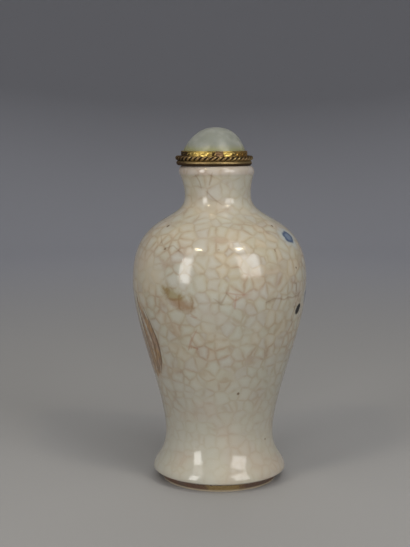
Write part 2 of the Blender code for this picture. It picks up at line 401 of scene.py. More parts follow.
# Cracks that have taken up more brown or more pink than the rest
BROWN_CRACKS = [
    [(5.6, 43.8, 0.06), (4.6, 43.2, 0.1), (2.7, 42.0, 0.16), (0.8, 40.9, 0.2), (-3.1, 41.9, 0.06)],
    [(30.8, 40.9, 0.06), (36, 41.5, 0.13), (40.8, 41.4, 0.16), (45, 41.0, 0.13), (49.2, 41.4, 0.18),
     (54, 41.1, 0.14), (59.9, 41.4, 0.2), (66, 42.1, 0.06)],
    [(57.4, 43.9, 0.05), (58.0, 42.9, 0.12), (59.4, 41.9, 0.18)],
    [(62.5, 41.6, 0.12), (59.0, 39.3, 0.1), (56, 37.0, 0.12), (60, 34.6, 0.05)],
    [(-7.4, 66.2, 0.13), (-9.5, 65.2, 0.2), (-12.5, 64.3, 0.14)],
    [(-33.5, 66.0, 0.1), (-29.5, 64.9, 0.13), (-27.5, 63.4, 0.05)],
    [(-40.3, 51.4, 0.12), (-34, 52.2, 0.08), (-28, 51.2, 0.05)],
    [(-50, 53.6, 0.05), (-45, 52.4, 0.1)],
    [(-17.7, 62.6, 0.08), (-10, 61.6, 0.12), (-4.6, 61.0, 0.12), (4.9, 60.2, 0.05)],
    [(-140, 44, 0.05), (-128, 42.4, 0.13), (-119, 43.6, 0.05)],
    [(176, 36, 0.05), (168, 33.4, 0.13), (170, 29.6, 0.06)],
]
PINK_CRACKS = [
    [(-15.3, 35.2, 0.06), (-17.6, 34.0, 0.1), (-19.9, 32.8, 0.22), (-21.9, 31.2, 0.14)],
    [(-20.4, 32.0, 0.06), (-16.2, 31.3, 0.13)],
    [(4.6, 43.2, 0.08), (10.5, 42.8, 0.15), (16.1, 42.7, 0.06)],
    [(10.5, 42.6, 0.1), (9.8, 41.3, 0.14), (9.5, 40.5, 0.22)],
    [(-18.5, 38.2, 0.06), (-15.5, 37.9, 0.1)],
]
STAIN = [[(-36, 43.4, 0.8), (-32, 42.5, 1.4), (-28, 41.5, 1.7), (-23.5, 40.5, 1.3), (-19, 39.9, 0.9)],
         [(-19, 39.9, 0.4), (-17.6, 41.2, 0.4), (-18, 42.3, 0.2)]]
# Where the glaze hardly cracked
CALM = [[(-76, 47.0, 2.6), (-48, 46.5, 2.8)], [(-12, 38.6, 1.2), (-4, 38.2, 1.2)]]
# How far past its edge a thin line is followed, a little over the mesh's own spacing
LINE_REACH = 0.6
NO_LINE = -9.0

for name, strokes in (("rock_wash", ROCK_WASHES), ("blue", stalks + leaves), ("iron", IRON_SPOT),
                      ("speck", [[(a, h, w), (a + 0.3, h + 0.1, w)] for a, h, w in SPECKS]),
                      ("stain", STAIN), ("calm", CALM), ("brown_zone", BROWN_CRACKS),
                      ("pink_zone", PINK_CRACKS)):
    side, half = on_wall(strokes)
    store(bottle, name, half - np.abs(side))
for name, strokes in (("rock_line", ROCK_LINES[::2]), ("rock_edge", ROCK_LINES[1::2]),
                      ("brown_crack", BROWN_CRACKS), ("pink_crack", PINK_CRACKS)):
    side, half = on_wall(strokes)
    store(bottle, name + "_side", side)
    store(bottle, name + "_half", np.where(np.abs(side) < half + LINE_REACH, half, NO_LINE))


class Value:
    """A socket in a material. Sums, differences and products of values add Math nodes."""

    def __init__(self, finish, socket):
        self.finish = finish
        self.socket = socket

    def math(self, operation, first, second):
        return self.finish.node("Math", {"operation": operation}, {0: first, 1: second})

    def __add__(self, other):
        return self.math("ADD", self, other)

    def __sub__(self, other):
        return self.math("SUBTRACT", self, other)

    def __rsub__(self, other):
        return self.math("SUBTRACT", other, self)

    def __mul__(self, other):
        return self.math("MULTIPLY", self, other)

    def __abs__(self):
        return self.math("ABSOLUTE", self, 0)

    __radd__ = __add__
    __rmul__ = __mul__


class Finish:
    """A material being made up, with its nodes."""

    def __init__(self, name):
        self.material = bpy.data.materials.new(name)
        self.material.use_nodes = True
        self.tree = self.material.node_tree
        self.shader = self.tree.nodes["Principled BSDF"]

    def connect(self, node, sockets):
        """Sets or links a node's sockets, which are found by name or by number."""
        for key, value in sockets.items():
            found = node.inputs[key] if isinstance(key, int) else \
                next(s for s in node.inputs if s.name == key and s.enabled)
            if isinstance(value, Value):
                self.tree.links.new(value.socket, found)
            else:
                found.default_value = value

    def node(self, kind, settings, sockets, out=None):
        """Adds a node: its settings first, then its sockets. Gives the named output, or the first."""
        made = self.tree.nodes.new("ShaderNode" + kind)
        for key, value in settings.items():
            setattr(made, key, value)
        self.connect(made, sockets)
        socket = next(s for s in made.outputs if s.enabled and out in (None, s.name))
        return Value(self, socket)

    def surface(self, sockets):
        """Sets or links sockets of the shader itself."""
        self.connect(self.shader, sockets)

    def mix(self, factor, first, second):
        """Goes from the first colour to the second with the factor."""
        return self.node("Mix", {"data_type": "RGBA"}, {"Factor": factor, "A": first, "B": second})

    def eased(self, value, low, high):
        """Rises smoothly from 0 where the value is low to 1 where it is high."""
        settings = {"interpolation_type": "SMOOTHSTEP"}
        return self.node("MapRange", settings, {"Value": value, "From Min": low, "From Max": high})

    def between(self, value, rises, falls):
        """1 between two pairs of limits: it rises smoothly across the first and falls across the second."""
        return self.eased(value, *rises) * (1 - self.eased(value, *falls))

    def kept(self, name):
        """The number that each point of the mesh keeps under this name."""
        return self.node("Attribute", {"attribute_name": name}, {}, "Fac")

    def line(self, name, soft):
        """1 inside the thin strokes kept under this name, fading over their soft edges."""
        depth = self.kept(name + "_half") - abs(self.kept(name + "_side"))
        return self.eased(depth, -soft, soft)

    def place(self, centre=(0, 0, 0)):
        """Where a point is, in mm from a centre."""
        seen = self.node("TexCoord", {}, {}, "Object")
        scaled = self.node("VectorMath", {"operation": "SCALE"}, {0: seen, "Scale": 1000})
        return self.node("VectorMath", {"operation": "SUBTRACT"}, {0: scaled, 1: centre})

    def cloud(self, where, size, detail=2.0, out="Fac"):
        """Soft noise with patches of about this size in mm."""
        return self.node("TexNoise", {}, {"Vector": where, "Scale": 1 / size, "Detail": detail}, out)

    def shaken(self, where, size, amount):
        """Places moved about by soft noise."""
        noise = self.cloud(where, size, out="Color")
        moved = self.node("VectorMath", {"operation": "SUBTRACT"}, {0: noise, 1: (0.5, 0.5, 0.5)})
        settings = {"operation": "MULTIPLY_ADD"}
        return self.node("VectorMath", settings, {0: moved, 1: (amount, amount, amount), 2: where})

    def bump(self, height, name="Normal"):
        """Fine relief, from a height in mm."""
        return self.node("Bump", {}, {"Distance": 0.001, "Height": height}, name)


def tone(red, green, blue):
    """A colour given as a screen shows it, from 0 to 255, as the numbers that a shader takes."""
    shares = [c / 255 for c in (red, green, blue)]
    linear = [s / 12.92 if s <= 0.04045 else ((s + 0.055) / 1.055) ** 2.4 for s in shares]
    return (*linear, 1.0)


# The glaze: grey-white to cream, crazed all over into plots 2 to 3 mm across. The cracks took up ochre
# and pink stain, some much more than others, and it has crept into the glaze beside them.
CELL = 2.45
CELL_RANDOMNESS = 0.78
CRACK_HALF = 0.32
# How strongly the cracks show: all of them, those in patches, those that took up most stain, and
# those beside the brown and the pink cracks that are placed one by one
CRACK_STRENGTH = 0.07
PATCHY_STRENGTH = 0.2
HEAVY_STRENGTH = 0.12
BROWN_STRENGTH = 0.14
PINK_STRENGTH = 0.18
# Heights between which the glaze changes, in mm
CRACKS_SHOW = (5.0, 34.0)
NECK_CALMS = (50.0, 60.0)
GLAZE_WARMS = (14.0, 52.0)
MIDDLE_GREY_AND_SHADE = ((8.0, 18.0), (36.0, 52.0))
LIP_STARTS = (66.0, 66.3)
STAIN_TURNS = (40.8, 42.2)
RING_PALES = (0.2, 0.6)
# Where the bare ware is ochre, in mm to the right
OCHRE_PATCH = ((-4.0, -1.8), (3.6, 5.6))
GREY_WHITE = tone(180, 177, 164)
CREAM = tone(190, 179, 157)
PINKISH = tone(180, 164, 150)
CELL_HEART = tone(186, 185, 176)
GREEN_GREY = tone(173, 175, 157)
LILAC_GREY = tone(180, 174, 170)
# The grey of the body's middle: partly the glaze's own tone, partly painted shade
BODY_GREY_AND_SHADE = tone(146, 142, 128)
OCHRE = tone(138, 110, 66)
ROSE = tone(150, 106, 82)
BROWN = tone(122, 86, 46)
DARK_BROWN = tone(92, 66, 40)
STAIN_OLIVE = tone(136, 120, 72)
STAIN_BROWN = tone(134, 96, 52)
ROCK_BROWN = tone(92, 66, 40)
ROCK_OCHRE = tone(152, 114, 60)
ROCK_PINK = tone(142, 110, 82)
COBALT = tone(60, 76, 104)
PALE_COBALT = tone(98, 116, 142)
BLUE_HAZE = tone(168, 182, 188)
IRON_BLACK = tone(20, 15, 11)
BISCUIT_BROWN = tone(122, 92, 74)
BISCUIT_OCHRE = tone(172, 146, 92)
BISCUIT_PURPLE = tone(114, 94, 82)
BISCUIT_PALE = tone(206, 192, 166)
GLAZE_LIP = tone(200, 184, 176)
LIP_PINK = tone(184, 172, 166)

glaze = Finish("crackled_glaze")
where = glaze.place()
level = glaze.node("SeparateXYZ", {}, {"Vector": where}, "Z")
wandering = glaze.shaken(glaze.shaken(where, 4.0, 1.2), 1.1, 0.4)


def crazing(feature, out):
    """A reading of the net of cracks, whose cells are about CELL across."""
    sockets = {"Vector": wandering, "Scale": 1 / CELL, "Randomness": CELL_RANDOMNESS}
    return glaze.node("TexVoronoi", {"feature": feature}, sockets, out)


net = crazing("DISTANCE_TO_EDGE", "Distance") * CELL
cell_hue = glaze.node("SeparateColor", {}, {"Color": crazing("F1", "Color")}, "Red")

upper = glaze.eased(level, *CRACKS_SHOW)
calm = glaze.eased(glaze.kept("calm"), -2.0, 1.5)
patchy = glaze.eased(glaze.cloud(where, 1.7, detail=1.0), 0.38, 0.64)
heavy = glaze.eased(glaze.cloud(where, 7.0), 0.42, 0.66)
brown_zone = glaze.eased(glaze.kept("brown_zone"), -0.8, 0.1)
pink_zone = glaze.eased(glaze.kept("pink_zone"), -0.8, 0.1)
plain = (0.28 + 0.72 * upper) * (1 - 0.65 * calm) * (1 - 0.35 * glaze.eased(level, *NECK_CALMS))
strength = (CRACK_STRENGTH + PATCHY_STRENGTH * patchy + HEAVY_STRENGTH * heavy) * plain
strength = strength + BROWN_STRENGTH * brown_zone + PINK_STRENGTH * pink_zone
line = (1 - glaze.eased(net, 0.02, CRACK_HALF)) * strength
halo = (1 - glaze.eased(net, 0.1, 0.95)) * (0.1 + 0.12 * heavy) * plain

warmth = 0.35 + 0.65 * glaze.eased(level, *GLAZE_WARMS)
warmth = glaze.eased(glaze.cloud(where, 15.0), 0.36, 0.62) * warmth
body = glaze.mix(warmth, GREY_WHITE, CREAM)
body = glaze.mix(glaze.eased(glaze.cloud(where, 9.0, detail=1.0), 0.5, 0.68) * 0.4, body, PINKISH)
body = glaze.mix(glaze.eased(cell_hue, 0.15, 0.4) * 0.3 * plain, body, GREEN_GREY)
body = glaze.mix(glaze.eased(cell_hue, 0.6, 0.85) * 0.35 * plain, body, LILAC_GREY)
body = glaze.mix(glaze.eased(net, 0.2, 0.9) * 0.35 * plain, body, CELL_HEART)
body = glaze.mix(glaze.eased(level, *LIP_STARTS) * 0.5, body, LIP_PINK)
# The middle of the body is greyer and darker: partly the glaze's own grey, partly painted shade
body = glaze.mix(glaze.between(level, *MIDDLE_GREY_AND_SHADE) * 0.22, body, BODY_GREY_AND_SHADE)
rose = glaze.eased(glaze.cloud(where, 7.0), 0.5, 0.6)
crack_tone = glaze.mix(rose * 0.45 + 0.45 * pink_zone, OCHRE, ROSE)
deep = glaze.eased(glaze.cloud(where, 3.5), 0.58, 0.68) * 0.28 + 0.5 * brown_zone
crack_tone = glaze.mix(deep, crack_tone, DARK_BROWN)
body = glaze.mix(halo, body, crack_tone)
body = glaze.mix(line, body, crack_tone)
body = glaze.mix(glaze.line("brown_crack", 0.22) * 0.42, body, BROWN)
body = glaze.mix(glaze.line("pink_crack", 0.22) * 0.5, body, ROSE)

fleck = glaze.cloud(where, 0.7)
stain = glaze.kept("stain") + (glaze.cloud(where, 0.8) - 0.5) * 1.2
stain_tone = glaze.mix(glaze.eased(level, *STAIN_TURNS), STAIN_BROWN, STAIN_OLIVE)
body = glaze.mix(glaze.eased(stain, -0.9, 1.1) * (0.62 + 0.25 * cell_hue), body, stain_tone)
body = glaze.mix(glaze.eased(stain, -0.4, 0.8) * (1 - glaze.eased(net, 0.0, 0.4)) * 0.4, body, BROWN)

wash = glaze.eased(glaze.kept("rock_wash") + (fleck - 0.5) * 1.2, -0.3, 0.5)
wash_tone = glaze.mix(glaze.eased(glaze.cloud(where, 2.4), 0.42, 0.58), ROCK_PINK, ROCK_OCHRE)
drawn_out = glaze.node("VectorMath", {"operation": "MULTIPLY"}, {0: where, 1: (1, 1, 0.2)})
streak = glaze.eased(glaze.cloud(drawn_out, 0.6), 0.44, 0.62)
wash_tone = glaze.mix(streak * 0.65, wash_tone, ROCK_BROWN)
body = glaze.mix(wash * 0.8, body, wash_tone)
body = glaze.mix(glaze.line("rock_line", 0.14) * 0.8, body, ROCK_BROWN)
body = glaze.mix(glaze.line("rock_edge", 0.14) * 0.8, body, ROCK_BROWN)

blue = glaze.kept("blue")
blossom = glaze.kept("blossom") + (fleck - 0.5) * 0.3
body = glaze.mix(glaze.eased(blue, -1.4, 0.1) * 0.3, body, BLUE_HAZE)
body = glaze.mix((1 - glaze.eased(blossom, 0.9, 2.3)) * 0.6, body, BLUE_HAZE)
body = glaze.mix((1 - glaze.eased(blossom, 0.8, 1.15)) * 0.85, body, PALE_COBALT)
wet = glaze.mix(glaze.eased(fleck, 0.42, 0.62), COBALT, PALE_COBALT)
body = glaze.mix(glaze.eased(blue, -0.1, 0.2) * 0.85, body, wet)
body = glaze.mix((1 - glaze.eased(abs(blossom - 0.85), 0.02, 0.42)) * 0.8, body, COBALT)
body = glaze.mix(glaze.eased(glaze.kept("speck"), -0.14, 0.08) * 0.8, body, DARK_BROWN)
iron = glaze.eased(glaze.kept("iron"), -0.2, 0.1)
body = glaze.mix(iron, body, IRON_BLACK)

bare_depth = glaze.kept("bare")
bare_mask = glaze.eased(bare_depth, -0.04, 0.06)
sides = glaze.node("SeparateXYZ", {}, {"Vector": where}, "X")
biscuit = glaze.mix(glaze.eased(glaze.cloud(where, 3.0), 0.4, 0.6), BISCUIT_BROWN, BISCUIT_PURPLE)
sides = sides + (glaze.cloud(where, 1.4) - 0.5) * 5.0
biscuit = glaze.mix(glaze.between(sides, *OCHRE_PATCH) * 0.85, biscuit, BISCUIT_OCHRE)
biscuit = glaze.mix(glaze.eased(glaze.cloud(where, 0.5), 0.45, 0.7) * 0.4, biscuit, DARK_BROWN)
biscuit = glaze.mix((1 - glaze.eased(level, *RING_PALES)) * 0.85, biscuit, BISCUIT_PALE)
glaze_rim = glaze.eased(bare_depth, -0.5, -0.2)
body = glaze.mix(glaze_rim * 0.6, body, GLAZE_LIP)
body = glaze.mix(bare_mask, body, biscuit)
burnt = 0.5 + 0.5 * glaze.eased(glaze.cloud(where, 1.2), 0.4, 0.6)
seam = glaze.between(bare_depth, (-0.18, -0.04), (0.18, 0.5))
body = glaze.mix(seam * burnt * 0.9, body, IRON_BLACK)
body = glaze.mix(glaze.eased(glaze.kept("grit"), 0.0, 0.15), body, DARK_BROWN)

pits = glaze.node("TexVoronoi", {}, {"Vector": where, "Scale": 0.9}, "Distance")
pit = 1 - glaze.eased(pits, 0.06, 0.13)
ripple = glaze.cloud(where, 5.0, detail=3.0) * 0.05
relief = ripple - line * 0.006 - pit * 0.02 + glaze.cloud(where, 0.35) * bare_mask * 0.08
roughness = 0.08 + 0.07 * glaze.cloud(where, 1.4) + 0.12 * line + 0.6 * bare_mask + 0.4 * iron
glaze.surface({
    "Base Color": body,
    "Roughness": roughness,
    "IOR": 1.6,
    "Normal": glaze.bump(relief),
})
bottle.data.materials.append(glaze.material)
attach(bottle, "root")
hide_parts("bottle")


# The stopper's stone: a domed cabochon of pale grey-green jade, ground, polished and slightly cloudy.
# It sits in the band on a straight girdle; the gold shining through its lower edge is painted.
STONE_SIDES = 128
STONE_STEP = 0.2
DOME_POINTS = 48
DOME_FULLNESS = (2.4, 0.8)
GIRDLE_CHAMFER = 0.4
STONE_LEAN = 0.4
JADE = tone(138, 141, 132)
JADE_CLOUD = tone(154, 156, 149)
# The painted glow of the gold through the stone's lower edge
JADE_GOLD_GLOW = tone(142, 140, 84)


def box_in_mm(node):
    """The centre, radius, underside and top of a node of the stopper."""
    low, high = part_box(node)
    centre = (low + high) / 2 * 1000
    return Vector((centre.x, centre.y, 0)), (high.x - low.x) * 500, low.z * 1000, high.z * 1000


stopper, stone_radius, stone_base, stone_top = box_in_mm("stopper_stone")
band_top = box_in_mm("stopper_bezel")[3]
dome = stone_top - band_top
stone_outline = []
for i in range(DOME_POINTS + 1):
    share = math.sin(math.radians(90 * i / DOME_POINTS))
    full = (1 - share ** DOME_FULLNESS[0]) ** DOME_FULLNESS[1]
    stone_outline.append(Vector((stone_radius * share, band_top + dome * full)))
girdle = Vector((stone_radius, stone_base + GIRDLE_CHAMFER))
stone_outline += straight(stone_outline[-1], girdle, STONE_STEP)
stone_outline += [Vector((stone_radius - GIRDLE_CHAMFER, stone_base)), Vector((0, stone_base))]
stone = as_piece("jade_cabochon", turned(stone_outline, STONE_SIDES))
points = read(stone, "co")
points[:, 0] += STONE_LEAN * np.clip((points[:, 2] - band_top) / dome, 0, None)
finish_shape(stone, points + np.array(stopper))

jade = Finish("pale_jade")
where = jade.place()
level = jade.node("SeparateXYZ", {}, {"Vector": where}, "Z")
veil = jade.eased(jade.cloud(jade.shaken(where, 5.0, 3.0), 3.5, detail=4.0), 0.38, 0.62)
body = jade.mix(veil, JADE, JADE_CLOUD)
# Painted glow of the gold band, showing through the stone's lower edge
painted_gold_glow = 1 - jade.eased(level + jade.cloud(where, 2.5) * 1.2, band_top + 0.6, band_top + 2.2)
body = jade.mix(painted_gold_glow * 0.7, body, JADE_GOLD_GLOW)
jade.surface({
    "Base Color": body,
    "Roughness": 0.26 + 0.12 * jade.cloud(where, 1.8),
    "IOR": 1.62,
    "Subsurface Weight": 0.6,
    "Subsurface Radius": (1.0, 1.0, 0.8),
    "Subsurface Scale": 0.002,
    "Normal": jade.bump(jade.cloud(where, 4.0, detail=3.0) * 0.06),
})
stone.data.materials.append(jade.material)
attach(stone, "root")
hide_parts("stopper_stone")


# The band round the stone: a strip of gilt brass chased with a running leaf, bent round and soldered.
# The gilding is bright where it is whole, coppery where it is rubbed through, and dark in the hollows.
BAND_SIDES = 720
BAND_STEP = 0.11
BAND_WALL = 0.35
BAND_EDGE = 0.12
LEAF_REPEATS = 26
# The chasing, as strokes of (along the band, above its middle, half width) in mm: one repeat of the
# leaf, and the stem and the upper rim that run on through all repeats
LEAF = (
    ((0.1, 0.05, 0.04), (0.45, 0.34, 0.22), (0.95, 0.66, 0.04)),
    ((0.9, -0.05, 0.04), (1.3, -0.36, 0.22), (1.75, -0.7, 0.04)),
    ((1.15, 0.5, 0.13), (1.3, 0.42, 0.1)),
    ((0.3, -0.5, 0.13), (0.45, -0.44, 0.1)),
)
STEM = ((-0.9, 0, 0.07), (2.6, 0, 0.07))
UPPER_RIM = ((-1, 0.86, 0.1), (4, 0.86, 0.1))
RELIEF_HEIGHT = 0.1
# Where the gilding is rubbed, old or dark, in mm right of the band's middle
RUBBED = ((0.0, 0.6), (1.5, 2.4))
RUBBED_RIGHT = (3.0, 4.0)
OLD_RIGHT = (4.0, 5.0)
# The band's darker ends, which are painted shade
SHADED_LEFT = (-6.0, -4.6)
SHADED_RIGHT = (4.6, 6.4)
DARK_MIDDLE = ((-0.6, -0.3), (0.1, 0.4))
DARK_SPOT = ((3.4, 3.8), (4.3, 4.8))
GOLD = tone(228, 198, 114)
OLD_GOLD = tone(204, 162, 88)
COPPER = tone(162, 130, 96)
PATINA = tone(64, 46, 26)


def gilding(gilt, metal, patina_and_shade, darkening_and_shade, dullness):
    """Gilt brass of a metal's colour, which darkens in hollows and where it is made darker, with patina and
    painted shade.

    Its dullness is the roughness of the clean metal.
    """
    place = gilt.place()
    mottle = gilt.cloud(place, 0.6, detail=3.0)
    # Patina in hollows and the darkening passed in, painted shade among them
    tarnish_and_shade = gilt.eased(patina_and_shade + darkening_and_shade + (mottle - 0.5) * 0.8, 0.35, 0.85)
    gilt.surface({
        "Base Color": gilt.mix(tarnish_and_shade, metal, PATINA),
        "Roughness": dullness + 0.2 * mottle + 0.25 * tarnish_and_shade,
        "Metallic": 1.0 - 0.45 * tarnish_and_shade,
        "Normal": gilt.bump(gilt.cloud(place, 0.25, detail=3.0) * 0.03),
    })


def sideways(gilt, centre):
    """How far right of the stopper's middle a point is, in mm."""
    return gilt.node("SeparateXYZ", {}, {"Vector": gilt.place(tuple(centre))}, "X")


stopper, band_radius, band_base, band_top = box_in_mm("stopper_bezel")
band_inside = band_radius - BAND_WALL
band_outline = [Vector((band_inside, band_top)), Vector((band_radius - BAND_EDGE, band_top))]
band_outline += straight(band_outline[-1], Vector((band_radius, band_top - BAND_EDGE)), BAND_STEP)
band_outline += straight(band_outline[-1], Vector((band_radius, band_base)), BAND_STEP)
band_outline += [Vector((band_inside, band_base))]
band = as_piece("gilt_band", turned(band_outline, BAND_SIDES, closed=True))
points = read(band, "co")
turn = np.arctan2(points[:, 0], -points[:, 1])
repeat = math.tau * band_radius / LEAF_REPEATS
across = (turn * band_radius) % repeat
middle = (band_base + band_top) / 2
along = points[:, 2] - middle
chasing = [STEM, UPPER_RIM]
for start in (-repeat, 0, repeat):
    chasing += [[(start + x, y, half) for x, y, half in stroke] for stroke in LEAF]
raised = eased(depth_in(chasing, across, along), -0.06, 0.14)
face = eased(np.hypot(points[:, 0], points[:, 1]), band_radius - 0.06, band_radius - 0.01)
outward = points * np.array([1, 1, 0]) / band_radius
points = points + outward * (RELIEF_HEIGHT * (raised - 1) * face)[:, None] + np.array(stopper)
finish_shape(band, points)
store(band, "patina_and_shade", (1 - raised) * face)

gilt = Finish("gilt_band")
right = sideways(gilt, stopper)
rubbed = gilt.between(right, *RUBBED) + 0.4 * gilt.eased(right, *RUBBED_RIGHT)
rubbed = gilt.eased(rubbed + gilt.cloud(gilt.place(), 0.7) - 0.5, 0.3, 0.7)
metal = gilt.mix(rubbed, GOLD, COPPER)
metal = gilt.mix(gilt.eased(right, *OLD_RIGHT), metal, OLD_GOLD)
# Painted shade at both ends of the band, and two darker spots in front
darkening_and_shade = (1 - gilt.eased(right, *SHADED_LEFT)) * 0.6 + gilt.eased(right, *SHADED_RIGHT) * 0.16
darkening_and_shade = darkening_and_shade + gilt.between(right, *DARK_MIDDLE) * 0.36 + gilt.between(right, *DARK_SPOT) * 0.28
gilding(gilt, metal, gilt.kept("patina_and_shade") * 0.5, darkening_and_shade, 0.28)
band.data.materials.append(gilt.material)
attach(band, "root")
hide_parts("stopper_bezel")


# The twisted wire: two plies of brass wire laid up right-handed, closed into a ring round the band
# and soldered to it and to the plate. The strands are bright on top and dark between.
PLY_SIDES = 12
SECTIONS_PER_TWIST = 18
WIRE_LAY_LENGTH = 2.23
# How far ahead and behind a place a ply's direction is taken, as a share of the ring
DIRECTION_REACH = 0.0005
# Where the wire's left end is darkened with painted shade, in mm right of the middle
WIRE_SHADED_LEFT = (-7.2, -4.6)
BRASS = tone(180, 156, 106)


def closed_tube(shape, ring, places):
    """Sweeps a ring of points along a closed row of places, given as matrices."""
    base = [point.co.copy() for point in ring]
    loop = list(ring)
    edges = [shape.edges.new(pair) for pair in zip(loop, loop[1:] + loop[:1])]
    first = edges
    for point, corner in zip(loop, base):
        point.co = places[0] @ corner
    for place in places[1:]:
        extruded = bmesh.ops.extrude_edge_only(shape, edges=edges)["geom"]
        loop = [e for e in extruded if isinstance(e, bmesh.types.BMVert)]
        edges = [e for e in extruded if isinstance(e, bmesh.types.BMEdge)
                 and e.verts[0] in loop and e.verts[1] in loop]
        for point, corner in zip(loop, base):
            point.co = place @ corner
    bmesh.ops.bridge_loops(shape, edges=first + edges)


stopper, wire_outside, wire_base, wire_top = box_in_mm("stopper_wire")
ply = (wire_top - wire_base) / 2
ring_radius = wire_outside - ply
ring_height = (wire_base + wire_top) / 2
twists = round(math.tau * ring_radius / WIRE_LAY_LENGTH)
sections = twists * SECTIONS_PER_TWIST
ply_corners = [Vector((math.cos(a), 0, math.sin(a))) * ply / 2
               for a in (math.tau * i / PLY_SIDES for i in range(PLY_SIDES))]


def ply_point(share, side):
    """The middle of a ply, at a share of the way round the ring."""
    around = math.tau * share
    lay = around * twists + side
    reach = ring_radius + ply / 2 * math.cos(lay)
    rise = ring_height + ply / 2 * math.sin(lay)
    return Vector((reach * math.cos(around), reach * math.sin(around), rise))


rope = bmesh.new()
for side in (0, math.pi):
    places = []
    for i in range(sections):
        share = i / sections
        ahead = ply_point(share + DIRECTION_REACH, side) - ply_point(share - DIRECTION_REACH, side)
        ahead.normalize()
        spread = ahead.cross(Vector((0, 0, 1))).normalized()
        upward = spread.cross(ahead)
        turned_place = Matrix((spread, ahead, upward)).transposed().to_4x4()
        places.append(Matrix.Translation(ply_point(share, side)) @ turned_place)
    closed_tube(rope, [rope.verts.new(corner) for corner in ply_corners], places)
bmesh.ops.recalc_face_normals(rope, faces=rope.faces)
wire = as_piece("twisted_wire", rope)
points = read(wire, "co")
turn = np.arctan2(points[:, 1], points[:, 0])
from_core = np.hypot(np.hypot(points[:, 0], points[:, 1]) - ring_radius, points[:, 2] - ring_height)
finish_shape(wire, points + np.array(stopper))
store(wire, "patina_and_shade", 1 - eased(from_core, ply * 0.5, ply * 0.95))

gilt = Finish("gilt_wire")
# Painted shade at the wire's left end, and a little darkening all over
darkening_and_shade = (1 - gilt.eased(sideways(gilt, stopper), *WIRE_SHADED_LEFT)) * 0.55 + 0.12
metal = gilt.mix(gilt.eased(gilt.cloud(gilt.place(), 1.6), 0.4, 0.6) * 0.5, BRASS, COPPER)
gilding(gilt, metal, gilt.kept("patina_and_shade") * 1.2, darkening_and_shade, 0.28)
wire.data.materials.append(gilt.material)
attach(wire, "root")
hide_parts("stopper_wire")


# The plate under the wire: a disc of gilt brass cut from sheet, its edge filed round and knocked about.
# It rests on the bottle's rim, and the wire is soldered onto it.
PLATE_SIDES = 192
PLATE_STEP = 0.12
PLATE_FLAT_STEP = 1.2
EDGE_ROUNDING = 0.45
CONTACT_GAP = 0.02
KNOCKS = 0.06
# Where the plate's left end is darkened with painted shade, in mm right of the middle
PLATE_SHADED_LEFT = (-7.0, -5.0)
PLATE_BRASS = tone(170, 148, 104)

stopper, plate_radius, plate_base = box_in_mm("stopper_plate")[:3]
plate_top = wire_base - CONTACT_GAP
rounding = (plate_top - plate_base) / 2
edge_centre = Vector((plate_radius - EDGE_ROUNDING, plate_base + rounding))
plate_outline = [Vector((0, plate_top))]
plate_outline += straight(plate_outline[0], edge_centre + Vector((0, rounding)), PLATE_FLAT_STEP)
plate_outline += arc(edge_centre, EDGE_ROUNDING, rounding, 90, -90, PLATE_STEP)[1:]
plate_outline += straight(plate_outline[-1], Vector((0, plate_base)), PLATE_FLAT_STEP)
plate = as_piece("gilt_plate", turned(plate_outline, PLATE_SIDES))
points = read(plate, "co")
turn = np.arctan2(points[:, 0], -points[:, 1])
rise = (points[:, 2] - plate_base) / (plate_top - plate_base)
knocked = 2 + np.sin(7 * turn + 4 * rise) + np.sin(17 * turn - 2 * rise + 1)
at_edge = eased(np.hypot(points[:, 0], points[:, 1]), plate_radius - 1.2, plate_radius)
outward = points * np.array([1, 1, 0]) / plate_radius
finish_shape(plate, points - outward * (KNOCKS * knocked / 4 * at_edge)[:, None] + np.array(stopper))
# The lower half of the plate's rounded edge is darkened: painted shade under its rim
store(plate, "patina_and_shade", 1 - eased(rise, 0.35, 0.55))

gilt = Finish("gilt_plate")
# Painted shade at the plate's left end, and some darkening all over
darkening_and_shade = (1 - gilt.eased(sideways(gilt, stopper), *PLATE_SHADED_LEFT)) * 0.5 + 0.25
gilding(gilt, PLATE_BRASS, gilt.kept("patina_and_shade") * 0.9, darkening_and_shade, 0.42)
plate.data.materials.append(gilt.material)
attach(plate, "root")
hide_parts("stopper_plate")


# The cork: a short tapered plug glued under the plate, which holds the stopper in the neck. It is
# hidden when the bottle is closed.
CORK_SIDES = 96
CORK_STEP = 0.15
CORK_CLEARANCE = 0.3
CORK_TAPER = 0.25
CORK_CHAMFER = 0.4
# The waves that add up to the cork's pores, each as how fast it runs along X, Y and Z
PORE_WAYS = ((5, 3, 6), (-4, 7, 2), (3, -5, 8))
PORE_DEPTH = 0.1
CORK_LIGHT = tone(182, 146, 102)
CORK_DARK = tone(112, 80, 52)

cork_base = box_in_mm("stopper_cork")[2]
cork_top = plate_base - CONTACT_GAP
cork_radius = BORE_RADIUS - CORK_CLEARANCE
cork_foot = cork_radius - CORK_TAPER
cork_outline = [Vector((0, cork_top))]
cork_outline += straight(cork_outline[0], Vector((cork_radius, cork_top)), CORK_STEP)
cork_outline += straight(cork_outline[-1], Vector((cork_foot, cork_base + CORK_CHAMFER)), CORK_STEP)
cork_outline += straight(cork_outline[-1], Vector((cork_foot - CORK_CHAMFER, cork_base)), CORK_STEP)
cork_outline += straight(cork_outline[-1], Vector((0, cork_base)), CORK_STEP)
cork = as_piece("cork_plug", turned(cork_outline, CORK_SIDES))
points = read(cork, "co")
pores = sum(np.sin(points @ np.array(way)) for way in PORE_WAYS)
hole = eased(pores, 1.3, 2.2) * (points[:, 2] < cork_top - 0.01)
points[:, :2] *= (1 - PORE_DEPTH / cork_radius * hole)[:, None]
share = np.clip((points[:, 2] - SHOULDER.y) / (rim_height - SHOULDER.y), 0, None)
points[:, 0] += NECK_LEAN * share ** 2
finish_shape(cork, points)
store(cork, "pore", hole)

